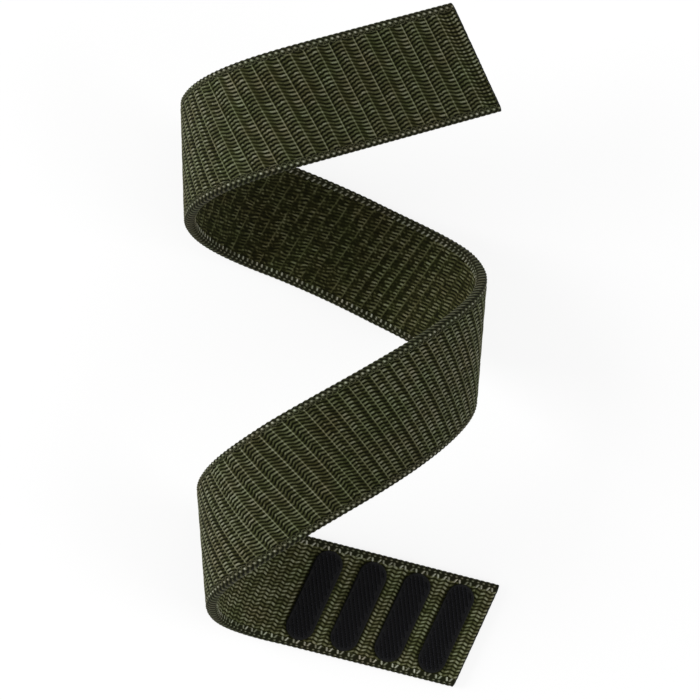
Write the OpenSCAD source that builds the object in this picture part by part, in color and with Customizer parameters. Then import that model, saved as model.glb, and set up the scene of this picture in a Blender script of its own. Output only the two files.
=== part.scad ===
// One-piece hook and loop watch band of woven nylon, resting on a table as an open coil.
// The tail with its four hook pads lies flat, the strap climbs over two bends, lies flat
// again, and its far end curls over the top. All sizes are in millimetres.
// The band is described along u, the distance along the coil's side profile from the tail
// end, along w, across the strap from its upper to its lower edge, and along n, from the
// middle of its thickness towards the inside of the coil.

/* [Strap] */
// Width of the strap over both beaded edges
strap_w = 20; // [16:0.5:24]
// Thickness of the woven web that carries the load and forms the inner face
web_t = 1.2; // [0.8:0.1:1.8]
// Thickness of the layer of loops on the outer face
loop_t = 0.9; // [0.5:0.1:1.4]
// Width of the beaded edge on each side
edge_w = 1.5; // [1:0.1:2.5]
// Angle by which cut ends, ribs and pads lean from square across the strap
bias_a = 10.5; // [0:0.5:15]
// Length of the heat-sealed bead at each cut end
seal_l = 0.6; // [0.4:0.1:1.2]

/* [Hook pads] */
// Number of hook pads on the tail
pad_n = 4; // [2:1:5]
// Width of one pad along the strap
pad_w = 5.2; // [4:0.1:6.5]
// Distance from one pad to the next, centre to centre
pad_pitch = 8.35; // [7.5:0.05:10]
// Distance from the tail's cut end to the first pad
pad_end = 3.5; // [2:0.1:6]
// Distance from each pad's round ends to the beaded edges
pad_side = 0.05; // [0.05:0.05:1]
// Distance from the last pad to the start of the first bend
pad_clear = 0.3; // [0.3:0.05:1]
// Thickness of a pad's moulded base
base_t = 0.3; // [0.2:0.05:0.6]
// Height of the hooks above the base
hook_t = 0.6; // [0.4:0.05:1]
// Bare rim of the base around the hooks
hook_rim = 0.3; // [0.1:0.05:0.8]

/* [Coil] */
// Radius of the left bend next to the tail
near_r = 16.6; // [15.5:0.1:18]
// Angle turned by the left bend next to the tail
near_a = 148; // [140:1:156]
// Radius of the broad crest between the near left bend and the right bend
crest_r = 27.5; // [22:0.5:34]
// Angle turned by the broad crest
crest_a = 79; // [72:1:86]
// Length of the flat run where the strap touches the table again
ground_l = 18; // [14:0.5:24]
// Radius of the far left bend
far_r = 18.3; // [14:0.1:22]
// Angle turned by the far left bend
far_a = 183.5; // [160:0.5:200]
// Length of the straight run at the far end
head_l = 27; // [20:0.5:60]

/* [Climb along the coil] */
// Slope of the tail's run against the side profile
tail_climb = 13.5; // [8:0.5:20]
// Slope at the end of the near left bend
near_climb = 32.5; // [26:0.5:34]
// Slope at the end of the crest
crest_climb = 28; // [22:0.5:32]
// Slope at the end of the right bend
right_climb = 24.5; // [20:0.5:30]
// Slope at the end of the flat run on the table
ground_climb = 19; // [16:0.5:26]
// Slope of the far end's straight run
head_climb = 17; // [12:0.5:22]
// Inward lean of the lower edge in the middle of the near left bend
near_lean = 6; // [0:0.5:8]
// Inward lean of the lower edge in the middle of the right bend
right_lean = 4.5; // [0:0.5:8]
// Inward lean of the lower edge in the middle of the far left bend
far_lean = 3.5; // [0:0.5:8]

/* [Flex] */
// Gap between neighbouring rigid links of the strap
flex_gap = 0.45; // [0.4:0.05:0.8]

/* [Hidden] */

$fn = 48;
// Longest step between the straight lines that make up a bend
bend_step = 2.2;
// Steps in which the long sides of a flat run follow its changing slope
side_steps = 6;

strap_t = web_t + loop_t;
bias = tan(bias_a);
tail_y_slope = tan(tail_climb);

// Half of a pad's straight middle part, so that it just fits between the beaded edges
pad_half = ((strap_w / 2 - edge_w - pad_side) - pad_w / 2) / cos(bias_a);
// Middle of pad k along the strap, from the tail end
function pad_m(k) = pad_end + pad_w / 2 + k * pad_pitch;
// The tail stays flat as far as its last pad reaches
tail_l = (pad_m(pad_n - 1) + pad_half * sin(bias_a)) * cos(tail_climb)
    + pad_half * cos(bias_a) * sin(tail_climb) + pad_w / 2 + pad_clear;

// Headings at the ends of the seven stretches: tail, near bend, crest, right bend,
// flat run, far bend and far end. The right bend brings the strap level again.
right_a = 360 - near_a - crest_a;
HEAD = [0, 0, near_a, near_a + crest_a, 360, 360, 360 + far_a, 360 + far_a];
// The right bend's radius brings the flat run back down to the table
right_r = (near_r * (1 - cos(HEAD[2])) + crest_r * (cos(HEAD[2]) - cos(HEAD[3])))
    / (1 - cos(HEAD[3]));
// Length of each stretch along the side profile
function arc_l(r, a) = r * a * PI / 180;
LEN = [tail_l, arc_l(near_r, near_a), arc_l(crest_r, crest_a), arc_l(right_r, right_a),
    ground_l, arc_l(far_r, far_a), head_l];
// Start of each stretch, and the end of the last one
function start_of(i) = i == 0 ? 0 : start_of(i - 1) + LEN[i - 1];
U = [for (i = [0 : len(LEN)]) start_of(i)];

// Step [x, z] made by going the length v from the start of stretch i
function heading_in(i, v) = HEAD[i] + (HEAD[i + 1] - HEAD[i]) * v / LEN[i];
function radius_of(i) = LEN[i] / ((HEAD[i + 1] - HEAD[i]) * PI / 180);
function step_in(i, v) = HEAD[i] == HEAD[i + 1]
    ? [-v * cos(HEAD[i]), v * sin(HEAD[i])]
    : radius_of(i) * [sin(HEAD[i]) - sin(heading_in(i, v)),
                      cos(HEAD[i]) - cos(heading_in(i, v))];
// The origin is under the middle of the flat tail
function node_of(i) = i == 0 ? [tail_l / 2, strap_t / 2]
    : node_of(i - 1) + step_in(i - 1, LEN[i - 1]);
XZ = [for (i = [0 : len(LEN)]) node_of(i)];
function stretch_at(u, i = 0) = i < len(LEN) - 1 && u > U[i + 1] ? stretch_at(u, i + 1) : i;
function profile(u, i) = XZ[i] + step_in(i, u - U[i]);

// Rise along Y per millimetre of profile, straight between the stretch ends
RISE = [for (a = [tail_climb, tail_climb, near_climb, crest_climb, right_climb,
                  ground_climb, head_climb, head_climb]) tan(a)];
function rise_in(i, v) = RISE[i] + (RISE[i + 1] - RISE[i]) * v / LEN[i];
function climb_in(i, v) = v * (RISE[i] + rise_in(i, v)) / 2;
function y_of(i) = i == 0 ? -tail_l / 2 * tail_y_slope : y_of(i - 1) + climb_in(i - 1, LEN[i - 1]);
Y = [for (i = [0 : len(LEN)]) y_of(i)];
function y_mid(u, i) = Y[i] + climb_in(i, u - U[i]);

// Lean of the strap: none on the flat runs, most in the middle of each bend
function mid_of(i) = (U[i] + U[i + 1]) / 2;
LEAN = [[U[1], 0], [mid_of(1), near_lean], [mid_of(2), 0], [mid_of(3), right_lean],
    [U[4], 0], [U[5], 0], [mid_of(5), far_lean], [U[6], 0]];

// Point of the strap at u, w and n
function point(u, w, n) =
    let (i = stretch_at(u), h = heading_in(i, u - U[i]), p = profile(u, i),
         rise = rise_in(i, u - U[i]), drop = w * sqrt(1 + rise * rise),
         m = n + drop * tan(lookup(u, LEAN)))
    [p[0] + m * sin(h), y_mid(u, i) - drop, p[1] + m * cos(h)];

// Layers through the thickness
N_OUT = -strap_t / 2;
N_LOOP = N_OUT + loop_t;
N_IN = strap_t / 2;
// Middle part between the two beaded edges
W_EDGE = strap_w / 2;
W_MID = W_EDGE - edge_w;

// Links of the bends: [name, stretch, number of the link, links in that stretch]
BENDS = [["near_1", 1, 0, 4], ["near_2", 1, 1, 4], ["near_3", 1, 2, 4], ["near_4", 1, 3, 4],
    ["crest_1", 2, 0, 2], ["crest_2", 2, 1, 2],
    ["right_1", 3, 0, 3], ["right_2", 3, 1, 3], ["right_3", 3, 2, 3],
    ["far_1", 5, 0, 4], ["far_2", 5, 1, 4], ["far_3", 5, 2, 4], ["far_4", 5, 3, 4]];
// Flat links: [name, stretch, has a cut end at its start, has a cut end at its end]
FLATS = [["tail", 0, true, false], ["ground", 4, false, false], ["head", 6, false, true]];

WEB_COLOUR = "#3d412c";
LOOP_COLOUR = "#474b34";
EDGE_COLOUR = "#34382a";
SEAL_COLOUR = "#1d1f16";
BASE_COLOUR = "#1a1a1a";
HOOK_COLOUR = "#111111";

// Cross-section corners [w, n] of a layer between the widths w0 and w1
function layer(w0, w1, n0, n1) = [[w0, n0], [w0, n1], [w1, n1], [w1, n0]];
// The edges' corners have one more, on the inner side, where loops and web meet
UPPER_EDGE = [[-W_EDGE, N_OUT], [-W_EDGE, N_IN], [-W_MID, N_IN], [-W_MID, N_LOOP],
    [-W_MID, N_OUT]];
LOWER_EDGE = [[W_MID, N_OUT], [W_MID, N_LOOP], [W_MID, N_IN], [W_EDGE, N_IN],
    [W_EDGE, N_OUT]];

// Curved bar of one link with the given cross-section. Each quad of a side is cut along
// the diagonal that rises in w or n, so that bars which share a side share its triangles.
module bent_bar(bend, section) {
    part_l = LEN[bend[1]] / bend[3];
    from = U[bend[1]] + bend[2] * part_l + flex_gap / 2;
    to = from + part_l - flex_gap;
    steps = ceil((to - from) / bend_step);
    corners = len(section);
    points = [for (k = [0 : steps]) let (u = from + (to - from) * k / steps)
        for (corner = section) point(u, corner[0], corner[1])];
    sides = [for (k = [0 : steps - 1]) for (c = [0 : corners - 1])
        let (d = (c + 1) % corners, a = corners * k + c, b = corners * k + d,
             rising = (section[d] - section[c]) * [1, 1] > 0)
        each rising ? [[a, b, b + corners], [a, b + corners, a + corners]]
                    : [[a, b, a + corners], [b, b + corners, a + corners]]];
    caps = [[for (c = [corners - 1 : -1 : 0]) c], [for (c = [0 : corners - 1]) steps * corners + c]];
    polyhedron(points = points, faces = concat(sides, caps));
}

// Corner of a flat link in its own plane: along the strap by m and across by w from the
// middle of a cut end, where the cut leans by the bias
function cut_corner(i, u, y, m, w) = let (a = atan(RISE[i]), along = m + bias * w)
    [-(u - U[i] + along * cos(a) + w * sin(a)), y + along * sin(a) - w * cos(a)];
// Corner of a flat link on the line where the next link begins
function line_corner(i, u, w) =
    [-(u - U[i]), y_mid(u, i) - w * sqrt(1 + pow(rise_in(i, u - U[i]), 2))];

// Places what is drawn flat on stretch i, from the depth n0 to n1
module lay_flat(i, n0, n1) {
    translate([XZ[i][0], 0, XZ[i][1]])
        rotate([0, HEAD[i], 0])
            translate([0, 0, n0])
                linear_extrude(height = n1 - n0)
                    children();
}

// Flat bar of one link. The slope changes along the flat run on the table, so its two
// long sides are drawn in a few steps.
module flat_bar(flat, w0, w1, n0, n1) {
    i = flat[1];
    from = U[i] + flex_gap / 2;
    to = U[i + 1] - flex_gap / 2;
    steps = RISE[i] == RISE[i + 1] ? 1 : side_steps;
    near = flat[2]
        ? [cut_corner(i, U[i], Y[i], seal_l, w0), cut_corner(i, U[i], Y[i], seal_l, w1)]
        : [line_corner(i, from, w0), line_corner(i, from, w1)];
    far = flat[3]
        ? [cut_corner(i, U[i + 1], Y[i + 1], -seal_l, w1),
           cut_corner(i, U[i + 1], Y[i + 1], -seal_l, w0)]
        : [line_corner(i, to, w1), line_corner(i, to, w0)];
    low = [for (k = [1 : 1 : steps - 1]) line_corner(i, from + (to - from) * k / steps, w1)];
    high = [for (k = [steps - 1 : -1 : 1]) line_corner(i, from + (to - from) * k / steps, w0)];
    lay_flat(i, n0, n1) polygon(concat(near, low, far, high));
}

module web_bend(bend) color(WEB_COLOUR) bent_bar(bend, layer(-W_MID, W_MID, N_LOOP, N_IN));
module web_flat(flat) color(WEB_COLOUR) flat_bar(flat, -W_MID, W_MID, N_LOOP, N_IN);
module loops_bend(bend) color(LOOP_COLOUR) bent_bar(bend, layer(-W_MID, W_MID, N_OUT, N_LOOP));
module loops_flat(flat) color(LOOP_COLOUR) flat_bar(flat, -W_MID, W_MID, N_OUT, N_LOOP);
module edges_bend(bend) color(EDGE_COLOUR) {
    bent_bar(bend, UPPER_EDGE);
    bent_bar(bend, LOWER_EDGE);
}
module edges_flat(flat) color(EDGE_COLOUR) {
    flat_bar(flat, -W_EDGE, -W_MID, N_OUT, N_IN);
    flat_bar(flat, W_MID, W_EDGE, N_OUT, N_IN);
}

// Heat-sealed bead along a cut end: at the start of stretch i, or at its end
module seal(i, at_end) color(SEAL_COLOUR) {
    j = at_end ? i + 1 : i;
    m = at_end ? [-seal_l, 0] : [0, seal_l];
    lay_flat(i, N_OUT, N_IN)
        polygon([for (c = [[m[0], -1], [m[0], 1], [m[1], 1], [m[1], -1]])
            cut_corner(i, U[j], Y[j], c[0], c[1] * W_EDGE)]);
}

// Outline of one pad with round ends, drawn in by the rim
module pad_outline(k, rim) {
    centre = cut_corner(0, 0, Y[0], pad_m(k), 0);
    translate(centre)
        rotate(-tail_climb - bias_a) {
            square([pad_w - 2 * rim, 2 * pad_half], center = true);
            for (side = [-1, 1])
                translate([0, side * pad_half]) circle(d = pad_w - 2 * rim);
        }
}
module hook_base(k) color(BASE_COLOUR)
    lay_flat(0, N_IN, N_IN + base_t) pad_outline(k, 0);
module hook_field(k) color(HOOK_COLOUR)
    lay_flat(0, N_IN + base_t, N_IN + base_t + hook_t) pad_outline(k, hook_rim);

for (bend = BENDS) {
    loops_bend(bend);
    web_bend(bend);
    edges_bend(bend);
}
for (flat = FLATS) {
    loops_flat(flat);
    web_flat(flat);
    edges_flat(flat);
}
seal(0, false);  // seal_tail
seal(6, true);  // seal_head
for (k = [0 : pad_n - 1]) {
    hook_base(k);
    hook_field(k);
}
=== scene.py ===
# %% [markdown]
# # A nylon loop watch band
# The object is one woven nylon strap. Its outer face is a pile of loops, its inner face is a
# flat knit, each long side ends in a beaded selvedge, and four black hook pads sit on the
# tail. It rests on a table as an open coil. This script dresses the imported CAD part: it
# loads the part as a fixed frame, covers each link of the strap with woven surfaces, and adds
# hooks, sealed ends, light and a camera.

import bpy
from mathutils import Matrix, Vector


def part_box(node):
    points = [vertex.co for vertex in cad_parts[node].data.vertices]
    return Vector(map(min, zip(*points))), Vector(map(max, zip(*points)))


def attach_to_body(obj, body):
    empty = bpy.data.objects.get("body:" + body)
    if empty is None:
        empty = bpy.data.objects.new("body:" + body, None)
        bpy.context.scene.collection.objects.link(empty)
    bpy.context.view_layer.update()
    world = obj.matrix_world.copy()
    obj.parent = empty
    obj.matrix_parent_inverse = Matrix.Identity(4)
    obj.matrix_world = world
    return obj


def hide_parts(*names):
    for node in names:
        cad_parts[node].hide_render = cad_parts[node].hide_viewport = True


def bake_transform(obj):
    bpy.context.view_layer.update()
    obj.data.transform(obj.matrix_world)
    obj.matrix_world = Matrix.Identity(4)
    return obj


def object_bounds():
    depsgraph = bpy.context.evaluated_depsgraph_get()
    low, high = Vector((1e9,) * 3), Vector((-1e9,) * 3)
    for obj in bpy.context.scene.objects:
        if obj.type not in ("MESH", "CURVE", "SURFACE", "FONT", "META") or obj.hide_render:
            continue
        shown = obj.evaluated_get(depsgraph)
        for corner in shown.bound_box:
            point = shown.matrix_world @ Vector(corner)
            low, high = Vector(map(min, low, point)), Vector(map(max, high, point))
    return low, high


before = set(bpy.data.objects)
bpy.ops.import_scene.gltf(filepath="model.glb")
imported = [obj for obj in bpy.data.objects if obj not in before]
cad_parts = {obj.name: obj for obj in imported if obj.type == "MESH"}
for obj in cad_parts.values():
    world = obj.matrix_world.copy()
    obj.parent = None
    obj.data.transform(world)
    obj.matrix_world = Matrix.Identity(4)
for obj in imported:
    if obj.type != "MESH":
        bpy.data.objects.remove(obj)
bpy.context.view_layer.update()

import bpy
import numpy as np
from mathutils import Matrix, Vector

MM = 0.001
PICTURE_PX = 700

# %% [markdown]
# ## Camera
# The photograph looks almost straight down from about half a metre. A camera can be placed by
# eye, by matching vanishing lines, or by fitting the outline of a known shape. Here the
# coil's outline was fitted, which gave a distance, a small tilt and a focal length in pixels.
# The camera is turned so that its axis passes through the middle of the frame, so it needs no
# lens shift.

# %% Camera
AIM_MM = np.array([-7.195, 49.725, 26.05])
DISTANCE_MM = 545.0
TILT_RAD = Vector((0.007, 0.207, -0.024))
PX_PER_MM = 5.817
AXIS_PX = np.array([377.132, 336.386])
SENSOR_MM = 36.0


def photo_camera():
    """Turns the world by the fitted tilt, then aims through the middle of the picture."""
    turn = np.array(Matrix.Rotation(TILT_RAD.length, 3, TILT_RAD))
    focal_px = PX_PER_MM * DISTANCE_MM
    offset = (PICTURE_PX / 2 - AXIS_PX) / focal_px
    back = -(turn.T @ np.array([offset[0], -offset[1], -1.0]))
    back /= np.linalg.norm(back)
    right = turn[0] - back * (turn[0] @ back)
    right /= np.linalg.norm(right)
    up = np.cross(back, right)
    data = bpy.data.cameras.new("photo_camera")
    data.sensor_width = SENSOR_MM
    data.lens = focal_px * SENSOR_MM / PICTURE_PX
    data.clip_start = 0.01
    camera = bpy.data.objects.new("photo_camera", data)
    spot = (AIM_MM + DISTANCE_MM * turn[2]) * MM
    camera.matrix_world = Matrix([[*row, place] for row, place in
                                  zip(np.array([right, up, back]).T, spot)] + [[0, 0, 0, 1]])
    bpy.context.scene.collection.objects.link(camera)
    return camera


camera = photo_camera()
bpy.context.scene.camera = camera
print("lens", round(camera.data.lens, 1), "mm, camera at",
      [round(v, 3) for v in camera.matrix_world.translation])

# %% [markdown]
# ## The strap's own coordinates
# A woven strap is easiest to draw flat and then bend. So each point has a distance u along
# the coil's side profile, a place w across the strap and a depth n through its thickness.
# The functions below repeat the CAD part's sizes and turn (u, w, n) into the row frame. A
# cloth simulation could also coil a flat strap, but the CAD part already fixes every point.

# %% Sizes of the strap
WIDTH, WEB, PILE, EDGE = 20.0, 1.2, 0.9, 1.5
BIAS_A = np.radians(10.5)
BIAS = np.tan(BIAS_A)
SEAL = 0.6
PAD_COUNT, PAD_WIDTH, PAD_PITCH, PAD_END, PAD_SIDE, PAD_CLEAR = 4, 5.2, 8.35, 3.5, 0.05, 0.3
BASE_T, HOOK_RIM = 0.3, 0.3
NEAR_R, NEAR_A, CREST_R, CREST_A = 16.6, 148.0, 27.5, 79.0
GROUND, FAR_R, FAR_A, HEAD_RUN = 18.0, 18.3, 183.5, 27.0
CLIMBS = np.radians([13.5, 13.5, 32.5, 28.0, 24.5, 19.0, 17.0, 17.0])
NEAR_LEAN, RIGHT_LEAN, FAR_LEAN = 6.0, 4.5, 3.5

HALF_T = (WEB + PILE) / 2
PILE_BACK = -HALF_T + PILE
PAD_HALF = (WIDTH / 2 - EDGE - PAD_SIDE - PAD_WIDTH / 2) / np.cos(BIAS_A)
PAD_M = PAD_END + PAD_WIDTH / 2 + PAD_PITCH * np.arange(PAD_COUNT)
TAIL = ((PAD_M[-1] + PAD_HALF * np.sin(BIAS_A)) * np.cos(CLIMBS[0])
        + PAD_HALF * np.cos(BIAS_A) * np.sin(CLIMBS[0]) + PAD_WIDTH / 2 + PAD_CLEAR)
RIGHT_A = 360 - NEAR_A - CREST_A
HEADING = np.radians([0, 0, NEAR_A, NEAR_A + CREST_A, 360, 360, 360 + FAR_A, 360 + FAR_A])
RIGHT_R = ((NEAR_R * (1 - np.cos(HEADING[2])) + CREST_R * (np.cos(HEADING[2]) - np.cos(HEADING[3])))
           / (1 - np.cos(HEADING[3])))
LENGTH = np.array([TAIL, *(np.radians([NEAR_A, CREST_A, RIGHT_A]) * [NEAR_R, CREST_R, RIGHT_R]),
                   GROUND, np.radians(FAR_A) * FAR_R, HEAD_RUN])
START = np.r_[0, np.cumsum(LENGTH)]
RISE = np.tan(CLIMBS)
TAIL_SLOPE = np.sqrt(1 + RISE[0] ** 2)
print("profile", round(START[-1], 2), "mm, right radius", round(RIGHT_R, 3), "tail", round(TAIL, 3))


# %% Profile
def stretch_of(u):
    """Number of the stretch that holds u: the last one that starts at or before it."""
    return np.clip(np.searchsorted(START, u, side="right") - 1, 0, len(LENGTH) - 1)


def run_from(i, v):
    """Step (x, z) after the length v on stretch i: straight, or along an arc of constant turn."""
    turn = (HEADING[i + 1] - HEADING[i]) / LENGTH[i]
    heading = HEADING[i] + turn * v
    flat = np.abs(turn) < 1e-9
    bend = np.where(flat, 1.0, turn)
    x = np.where(flat, -v * np.cos(HEADING[i]), (np.sin(HEADING[i]) - np.sin(heading)) / bend)
    z = np.where(flat, v * np.sin(HEADING[i]), (np.cos(HEADING[i]) - np.cos(heading)) / bend)
    return x, z, heading


KNOT_X, KNOT_Z, KNOT_Y = [TAIL / 2], [HALF_T], [-TAIL / 2 * RISE[0]]
for i, length in enumerate(LENGTH):
    step_x, step_z, _ = run_from(i, length)
    KNOT_X.append(KNOT_X[-1] + float(step_x))
    KNOT_Z.append(KNOT_Z[-1] + float(step_z))
    KNOT_Y.append(KNOT_Y[-1] + length * (RISE[i] + RISE[i + 1]) / 2)
KNOT_X, KNOT_Z, KNOT_Y = np.array(KNOT_X), np.array(KNOT_Z), np.array(KNOT_Y)
MIDDLE = (START[:-1] + START[1:]) / 2
LEAN_U = [START[1], MIDDLE[1], MIDDLE[2], MIDDLE[3], START[4], START[5], MIDDLE[5], START[6]]
LEAN_A = [0, NEAR_LEAN, 0, RIGHT_LEAN, 0, 0, FAR_LEAN, 0]
print("profile ends at", KNOT_X[-1].round(2), KNOT_Y[-1].round(2), KNOT_Z[-1].round(2), "mm")


def rise_at(u):
    """Rise along Y for each millimetre of profile, straight between the stretches' ends."""
    return np.interp(u, START, RISE)


def place(u, w, n):
    """Point in metres: the profile's point, moved n along its normal and w down the ruling.
    The ruling runs along Y, and leans inward by a small angle in the bends."""
    u, w, n = np.broadcast_arrays(*(np.asarray(a, float) for a in (u, w, n)))
    i = stretch_of(u)
    x, z, heading = run_from(i, u - START[i])
    drop = w * np.sqrt(1 + rise_at(u) ** 2)
    depth = n + drop * np.tan(np.radians(np.interp(u, LEAN_U, LEAN_A)))
    y = KNOT_Y[i] + (u - START[i]) * (RISE[i] + rise_at(u)) / 2 - drop
    points = [KNOT_X[i] + x + depth * np.sin(heading), y, KNOT_Z[i] + z + depth * np.cos(heading)]
    return np.stack(points, axis=-1) * MM


# %% Length along the cloth
FINE_MARGIN, FINE_POINTS = 15, 6001
FINE_U = np.linspace(-FINE_MARGIN, START[-1] + FINE_MARGIN, FINE_POINTS)
FINE_STEP = np.sqrt(1 + rise_at((FINE_U[1:] + FINE_U[:-1]) / 2) ** 2) * np.diff(FINE_U)
FINE_M = np.r_[0, np.cumsum(FINE_STEP)]
FINE_M -= np.interp(0, FINE_U, FINE_M)


def cloth_length(u):
    """Length along the strap's middle line, the sum of its slanting steps over the profile."""
    return np.interp(u, FINE_U, FINE_M)


CLOTH = float(cloth_length(START[-1]))


def cut_u(rib, w):
    """Where the leaning line at the distance rib crosses w, on the flat tail or far end."""
    end = 0 if rib < CLOTH / 2 else -1
    slope = np.sqrt(1 + RISE[end] ** 2)
    at_end = 0.0 if end == 0 else CLOTH
    return (0.0 if end == 0 else START[-1]) + (rib - at_end + w * (RISE[end] + BIAS)) / slope


box_low, box_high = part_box("seal_head")
print("cloth length", round(CLOTH, 2), "mm; head corner", place(cut_u(CLOTH, 10), 10, 0).round(4),
      "in the box", [round(v, 4) for v in box_low], [round(v, 4) for v in box_high])

# %% [markdown]
# ## Meshes carried along the strap
# Each layer is a closed tube with a flat section: many points across its woven face, a few on
# its hidden back, and one such ring for each step along the strap. A displacement modifier
# could raise the weave from a flat strip. A computed grid keeps the weave's height and its
# shade in step, because both come from the same formula.


# %% Mesh from a grid
def mesh_object(name, points, quads, caps=(), tone=None, uv=None, smooth=True):
    """An object from points (metres), quads and end faces, with a shade for each point and a
    flat map. Edges round the end faces stay sharp."""
    mesh = bpy.data.meshes.new(name)
    faces = [q.tolist() for q in caps]
    corners = np.concatenate([quads.ravel(), *[np.asarray(f) for f in faces]]).astype(np.int32)
    sizes = np.r_[np.full(len(quads), 4), [len(f) for f in faces]].astype(np.int32)
    mesh.vertices.add(len(points))
    mesh.vertices.foreach_set("co", points.astype(np.float32).ravel())
    mesh.loops.add(len(corners))
    mesh.loops.foreach_set("vertex_index", corners)
    mesh.polygons.add(len(sizes))
    mesh.polygons.foreach_set("loop_start", (np.cumsum(sizes) - sizes).astype(np.int32))
    mesh.polygons.foreach_set("loop_total", sizes)
    mesh.polygons.foreach_set("use_smooth", np.full(len(sizes), smooth))
    mesh.update(calc_edges=True)
    if tone is not None:
        shades = mesh.attributes.new("tone", "FLOAT", "POINT")
        shades.data.foreach_set("value", tone.astype(np.float32))
    if uv is not None:
        layer = mesh.uv_layers.new(name="cloth")
        layer.data.foreach_set("uv", uv[corners].astype(np.float32).ravel())
    if faces:
        pairs = np.empty(len(mesh.edges) * 2, np.int32)
        mesh.edges.foreach_get("vertices", pairs)
        pairs = pairs.reshape(-1, 2)
        sharp = np.zeros(len(pairs), bool)
        for face in faces:
            on_cap = np.zeros(len(points), bool)
            on_cap[face] = True
            sharp |= on_cap[pairs].all(axis=1)
        mesh.attributes.new("sharp_edge", "BOOLEAN", "EDGE").data.foreach_set("value", sharp)
    mesh.validate()
    thing = bpy.data.objects.new(name, mesh)
    bpy.context.scene.collection.objects.link(thing)
    return thing


def ring_faces(rows, columns, first=0):
    """Quads of a tube of rows × columns points, its section going round from w towards n, and
    its two end faces."""
    index = first + np.arange(rows * columns).reshape(rows, columns)
    right = np.roll(index, -1, axis=1)
    quads = np.stack([index[:-1], right[:-1], right[1:], index[1:]], axis=-1).reshape(-1, 4)
    return quads, [index[0][::-1], index[-1]]


# %% [markdown]
# ## The weave
# On the pile side the photograph shows a thin light thread across the strap about every
# 4.3 mm, a weaker one halfway, and cords 0.7 mm apart that run lengthwise. Each cord rises
# after a strong thread, stays level, sinks again and ends in a bright loop beside the next
# one, with holes between the rows, painted near black as shade. On the bends and over the
# crest all threads are about alike, and short bright dashes follow each of them. The inner
# face is a flat wavy knit near the tail and an open ladder of ridges farther on. Real yarn
# could be modelled strand by strand, but that takes millions of faces, so one height formula
# stands for each pattern. Its shade paints shade into the gaps between the yarns and some
# highlight onto their raised tops.

# %% Sizes of the weave
# The _PLACE and _AT lists are millimetres from the tail. COUNT is the phase of the threads there.
# The pair of lists after COUNT gives a slow change of tone along the strap, painted light and
# shade: paler on the bends, darker on the straight stretches between them.
ROW, THREAD_GAP, FIRST_THREAD = 0.668, 4.328, 5.55
KNIT_ROW, KNIT_CELL = 0.69, 1.0
RIDGE_GAP, RIDGE_AT, RUNG_ROW = 2.12, 158.25, 0.66
PILE_RELIEF, KNIT_RELIEF = 0.36, 0.28
LEAN_PLACE = [0, 60, 88, 106, 125, 200, 277]
THREAD_LEAN = [0.185, 0.2, 0.23, 0.12, 0.1, 0.22, 0.225]
COUNT_AT = np.array([94.04 - 30 * THREAD_GAP, 94.04, 105.5, 128.5, 210.0, 300.0])
COUNT = np.r_[-72, -42, -39, -33, (COUNT_AT[4:] - CLOTH + FIRST_THREAD) / THREAD_GAP]
PAINTED_LIGHT_SHADE_AT = [76, 84, 96, 106, 116, 150, 200, 232, 242]
PAINTED_LIGHT_SHADE = [1.1, 0.89, 0.86, 0.94, 1.11, 1.1, 1.05, 1.04, 0.95]
CHANCE = np.random.default_rng(11).random((128, 512))
CORD_EDGE, CORD_BLUR = 0.42, 0.46
print("thread phase from", COUNT.min().round(2), "to", COUNT.max().round(2))


# %% Waves and chance
def ease(t):
    """Smooth step from 0 to 1."""
    t = np.clip(t, 0, 1)
    return t * t * (3 - 2 * t)


def stair(x, steps):
    """Sum of smooth steps, each given as (start, length, rise)."""
    return sum(rise * ease((x - start) / length) for start, length, rise in steps)


def bell(x, middle, width):
    """Smooth bump: 1 at the middle, and near 0 two widths away."""
    return np.exp(-((x - middle) / width) ** 2)


def wave(x):
    """Wave from 0 to 1, highest where x is a whole number."""
    return 0.5 + 0.5 * np.cos(2 * np.pi * x)


def chance(row, column, shift=0):
    """A fixed chance value from 0 to 1 for each stitch, by its row and column."""
    return CHANCE[row.astype(int) % 128, (column.astype(int) + 37 * shift) % 512]


def drift(x, y):
    """Smooth chance value from 0 to 1 over a plane: the fixed values blended between cells."""
    a, b = np.floor(x), np.floor(y)
    p, q = ease(x - a), ease(y - b)
    low = chance(a, b, 9) * (1 - p) + chance(a + 1, b, 9) * p
    high = chance(a, b + 1, 9) * (1 - p) + chance(a + 1, b + 1, 9) * p
    return low * (1 - q) + high * q


def cords(line):
    """Height across lengthwise cords, 1 on each cord's ridge and 0 between two, a squarer
    form of it for the shade, which paints light on the ridges and shade between the cords,
    and the number of the nearest cord."""
    row = np.round(line)
    cord = np.cos(np.pi * (line - row))
    return cord, ease((cord - CORD_EDGE) / CORD_BLUR), row


# %% Pile pattern
# The tables go by the share of the way from one strong thread to the next, and for the even
# cells from any thread to the next. The steps along the strap are in millimetres.
WAVY_AT = [0, 0.04, 0.09, 0.16, 0.22, 0.3, 0.4, 0.46, 0.54, 0.64, 0.7, 0.77, 0.93, 0.97, 1]
WAVY = [0.5, 0.35, 0.6, 0.9, 0.72, 0.93, 0.93, 0.7, 0.58, 0.58, 0.68, 0.88, 0.93, 0.7, 0.5]
EVEN_AT = [0, 0.08, 0.15, 0.5, 0.58, 0.66, 0.9, 1]
EVEN = [0.5, 0.66, 0.98, 0.98, 0.5, 0.58, 0.66, 0.55]
WAVY_HOLE_AT = [0, 0.05, 0.4, 0.48, 0.55, 0.65, 0.73, 0.79, 0.93, 1]
WAVY_HOLE = [0.08, 0.0, 0.0, 0.08, 0.23, 0.22, 0.06, 0.0, 0.0, 0.08]
EVEN_HOLE_AT = [0, 0.1, 0.44, 0.52, 0.62, 0.9, 1]
EVEN_HOLE = [0.06, 0.0, 0.0, 0.06, 0.02, 0.02, 0.06]
EVEN_PART = [(72, 8, -1), (92, 9, 0.9), (226, 8, -0.9)]
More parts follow.
